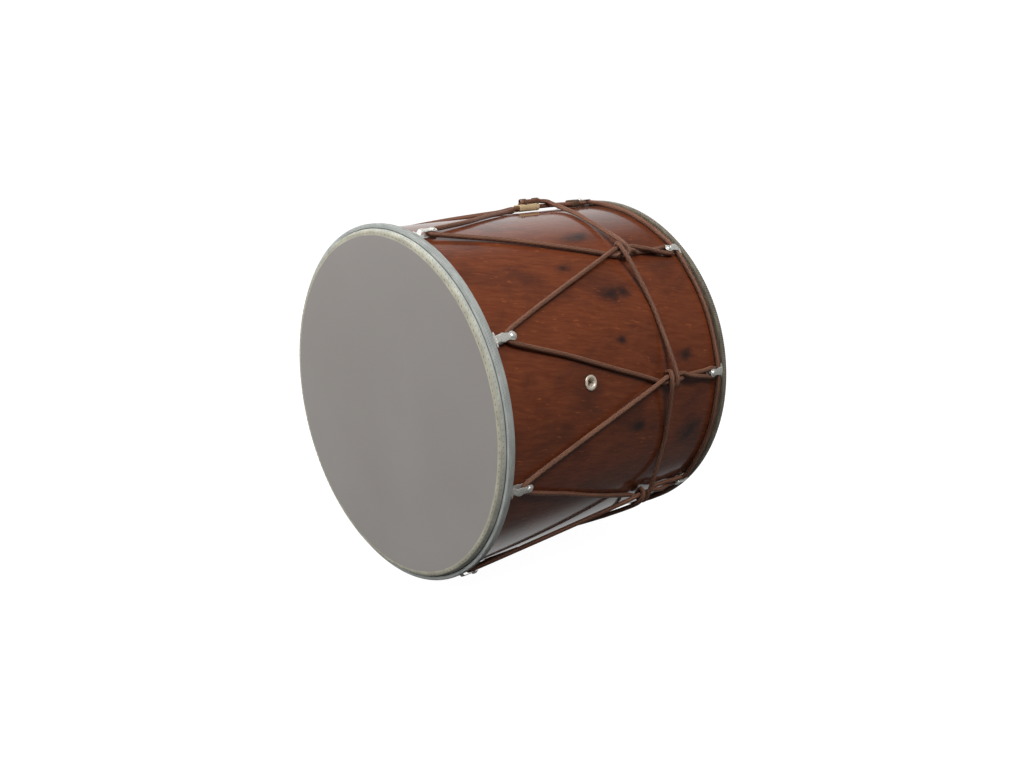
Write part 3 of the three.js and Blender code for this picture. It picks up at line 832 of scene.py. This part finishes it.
def lacing_route():
    """From the serving by the first rear hook, through every hook, and back to it."""
    points = served(-1, SERVING_FROM + 4, SERVING_FROM)
    for k in range(TENSIONERS):
        cinch = CINCH_ANGLE - PITCH * k
        lower = [(y, -side, r) for y, side, r in SPLICED_STRAND] if k == 0 else LOWER_STRAND
        upper = SPLICED_STRAND if k == TENSIONERS - 1 else UPPER_STRAND
        points += [on_drum(cinch, p) for p in reversed(lower)]
        points += bight(FRONT_HOOK_ANGLE - PITCH * k, -1)
        points += [on_drum(cinch - PITCH, p) for p in upper]
        if k == TENSIONERS - 1:
            points += served(1, SERVING_FROM, SERVING_TO)
        points += bight(REAR_HOOK_ANGLE - PITCH * (k + 1), 1)
    return points + served(-1, SERVING_TO, SERVING_FROM + 6)


def free_run(angle, *stops):
    """Points on the shell beside a cinch, from (turn, y) stops."""
    return [on_drum(angle + turn, (y, 0, ON_SHELL)) for turn, y in stops]


def tuning_route():
    """From one end on the whipping, round the drum with a turn about each pair, to the other end."""
    start = [
        (40.5, -PAIR_HALF, SPLICE_OVER), (62.5, -PAIR_HALF, SPLICE_OVER), (66.5, -2.5, 173.1),
        (70, -3.4, 172.8), (72.6, -6.2, 172), (73.2, -12, 169.9),
    ]
    points = [on_drum(CINCH_ANGLE, p) for p in start]
    points += free_run(CINCH_ANGLE, (-16, 68), (-20, 66), (-24, 64))
    for k in range(1, TENSIONERS):
        cinch = CINCH_ANGLE - PITCH * k
        points += [on_drum(cinch, (CINCH_Y + y, side, r)) for y, side, r in ROUND_TURN]
        if k < TENSIONERS - 1:
            points += free_run(cinch, (-20.2, CINCH_Y + 2.6), (-24.8, CINCH_Y + 3.0))
    points += free_run(CINCH_ANGLE, (24, 52), (19, 50.5), (14, 49))
    tail = [
        (48.5, 13, 169.2), (48.6, 8.4, 172.3), (50.3, 4.2, 173.8), (54, PAIR_HALF, SPLICE_OVER),
        (65, PAIR_HALF, SPLICE_OVER),
    ]
    return points + [on_drum(CINCH_ANGLE, p) for p in tail]


def rim_route():
    """Once round the shell, rising at each rear hook. Its end lies beside its start."""
    start = REAR_HOOK_ANGLE + PITCH - 12
    points = []
    for turn in range(0, 377, 5):
        angle = start - turn
        to_hook = abs((angle - REAR_HOOK_ANGLE + PITCH / 2) % PITCH - PITCH / 2)
        lift = max(0, 1 - max(0, to_hook - 4) / 5)
        past = min(1, max(0, turn - 352) / 8)
        y = HOOP_Y - RIM_CORD_BACK - 5.2 * past
        points.append(on_drum(angle, (y, 0, ON_SHELL + (IN_HOOK - ON_SHELL) * lift)))
    return points


def wound(name, angle, span, half, low, high, thread, pitch):
    """A thread wound round a bundle: a helix on a rounded rectangle, in the axes of its place.

    `span` holds its first and last y, and `half`, `low` and `high` bound the rectangle of its middle line.
    """
    first, last = span
    ring = rounded([(-half, low), (half, low), (half, high), (-half, high)], 2.4, 5, closed=True)
    matrix = spot(angle)
    steps = int((last - first) / pitch) * len(ring)
    route = []
    for i in range(steps + 1):
        p = ring[i % len(ring)]
        y = first + thread + (last - first - 2 * thread) * i / steps
        wobble = 0.04 * math.sin(i * 0.37)
        route.append(matrix @ Vector((p.x, y, p.y + wobble)))
    return swept(name, route, thread, 8)


def make_whipping():
    """The whipping, and two collars that come out of it and go over the tuning cord's ends."""
    reach = ROPE_R + 0.75
    whip = wound("whipping_thread", CINCH_ANGLE, (WHIP_FROM, WHIP_TO), PAIR_HALF + reach, SPLICE_R - reach,
                 SPLICE_R + reach - 0.1, 0.7, 1.36)
    piece("whipping_thread", whip, "tuning_ring", [THREAD], ["whipping"])
    for side, first in (("front", WHIP_FROM + WHIP_INSET), ("rear", WHIP_TO - WHIP_COLLAR)):
        name = f"whipping_collar_{side}"
        collar = wound(name, CINCH_ANGLE, (first, first + WHIP_COLLAR), PAIR_HALF + ROPE_R + 0.55,
                       SPLICE_R + reach - 0.4, SPLICE_OVER + ROPE_R + 0.5, 0.5, 1.04)
        piece(name, collar, "tuning_ring", [COLLAR_THREAD])


def make_serving():
    half = SERVING_HALF + ROPE_R + 0.8
    knot = wound("serving_cord", REAR_HOOK_ANGLE, (SERVING_FROM, SERVING_TO), half, SERVING_R - ROPE_R - 0.4,
                 SERVING_R + ROPE_R + 0.75, 0.85, 1.75)
    piece("serving_cord", knot, "drum", [SERVING_ROPE], ["lacing_serving"])


def make_ropes():
    ropes = (
        ("lacing_braid", lacing_route(), 1.3, "drum", "lacing_rope"),
        ("tuning_braid", tuning_route(), 1.1, "tuning_ring", "tuning_cord"),
        ("rim_braid", rim_route(), 1.3, "drum", "rim_cord"),
    )
    for name, route, step, body, replaced in ropes:
        piece(name, swept(name, smooth_route(route, step), ROPE_R), body, [ROPE], [replaced])
    make_whipping()
    make_serving()


make_shell()
make_vent()
make_heads()
make_hooks()
make_ropes()
for end in ("front", "rear"):
    dress(f"{end}_inner_ring", BARE_WOOD)
    dress(f"{end}_hoop", STEEL)


# ------------------------------------------------------------------ floor, light and camera
def make_floor():
    """A white floor that neither lights the drum nor shows in its lacquer."""
    mesh = bpy.data.meshes.new("floor")
    half = 9
    corners = [(-half, -half, 0), (half, -half, 0), (half, half, 0), (-half, half, 0)]
    mesh.from_pydata(corners, [], [(0, 1, 2, 3)])
    mesh.materials.append(new_material("floor_white", (0.16, 0.16, 0.16), 0.9, Specular_IOR_Level=0.0,
                                       Emission_Color=(1, 1, 1, 1), Emission_Strength=0.98))
    floor = bpy.data.objects.new("floor", mesh)
    bpy.context.scene.collection.objects.link(floor)
    floor.visible_glossy = False
    floor.visible_diffuse = False


def glow(tree, direction, wide, strength):
    """Light from a soft patch of the surroundings, brightest in one direction."""
    dot = tree.nodes.new("ShaderNodeVectorMath")
    dot.operation = "DOT_PRODUCT"
    tree.links.new(tree.nodes.new("ShaderNodeTexCoord").outputs["Generated"], dot.inputs[0])
    dot.inputs[1].default_value = Vector(direction).normalized()
    patch = tree.nodes.new("ShaderNodeMapRange")
    patch.interpolation_type = "SMOOTHSTEP"
    tree.links.new(dot.outputs["Value"], patch.inputs[0])
    for index, value in enumerate((wide, 1.0, 0.0, strength), start=1):
        patch.inputs[index].default_value = value
    return patch.outputs[0]


def make_world():
    """Dim surroundings with two soft glows behind the drum, and plain white where the camera looks."""
    world = bpy.data.worlds.new("studio")
    bpy.context.scene.world = world
    world.use_nodes = True
    tree = world.node_tree
    total = 0.10
    for form in (((-0.45, 0.63, -0.60), 0.86, 0.50), ((-0.72, 0.63, 0.20), 0.74, 0.72)):
        plus = tree.nodes.new("ShaderNodeMath")
        tree.links.new(glow(tree, *form), plus.inputs[0])
        if isinstance(total, float):
            plus.inputs[1].default_value = total
        else:
            tree.links.new(total, plus.inputs[1])
        total = plus.outputs[0]
    sky = tree.nodes["Background"]
    sky.inputs["Color"].default_value = (1, 1, 1, 1)
    tree.links.new(total, sky.inputs["Strength"])
    seen = tree.nodes.new("ShaderNodeBackground")
    seen.inputs["Color"].default_value = (1, 1, 1, 1)
    seen.inputs["Strength"].default_value = 1.1
    pick = tree.nodes.new("ShaderNodeMixShader")
    tree.links.new(tree.nodes.new("ShaderNodeLightPath").outputs["Is Camera Ray"], pick.inputs[0])
    tree.links.new(sky.outputs[0], pick.inputs[1])
    tree.links.new(seen.outputs[0], pick.inputs[2])
    tree.links.new(pick.outputs[0], tree.nodes["World Output"].inputs[0])


def softbox(name, position, size, power):
    """A rectangular light that points at the middle of the drum."""
    light = bpy.data.lights.new(name, "AREA")
    light.shape, light.size, light.size_y = "RECTANGLE", *size
    light.energy = power
    lamp = bpy.data.objects.new(name, light)
    bpy.context.scene.collection.objects.link(lamp)
    lamp.location = position
    lamp.rotation_euler = (MIDDLE - Vector(position)).to_track_quat("-Z", "Y").to_euler()


def make_camera():
    azimuth, elevation = math.radians(48.84), math.radians(16.71)
    level = math.cos(elevation)
    back = Vector((math.sin(azimuth) * level, -math.cos(azimuth) * level, math.sin(elevation)))
    right = Vector((math.cos(azimuth), math.sin(azimuth), 0))
    up = back.cross(right)
    camera = bpy.data.cameras.new("camera")
    camera.sensor_width = 36
    camera.lens = 34.9734
    camera.clip_end = 50
    view = bpy.data.objects.new("camera", camera)
    bpy.context.scene.collection.objects.link(view)
    stand = Matrix((right, up, back)).transposed().to_4x4()
    stand.translation = MIDDLE + right * 0.00514 - up * 0.00677 + back * 1.0172
    view.matrix_world = stand
    bpy.context.scene.camera = view


MIDDLE = Vector((0, 0, AXIS_Z))
make_floor()
make_world()
softbox("overhead", (0.35, -0.85, 1.9), (1.6, 1.1), 24)
softbox("front_left", (-1.15, -1.8, 0.95), (1.4, 1.3), 44)
softbox("camera_side", (1.6, -0.4, 2.0), (0.8, 0.8), 30)
softbox("rear_fill", (-0.5, 2.3, 0.5), (0.9, 0.9), 26)
make_camera()
bpy.context.scene.view_settings.view_transform = "Standard"
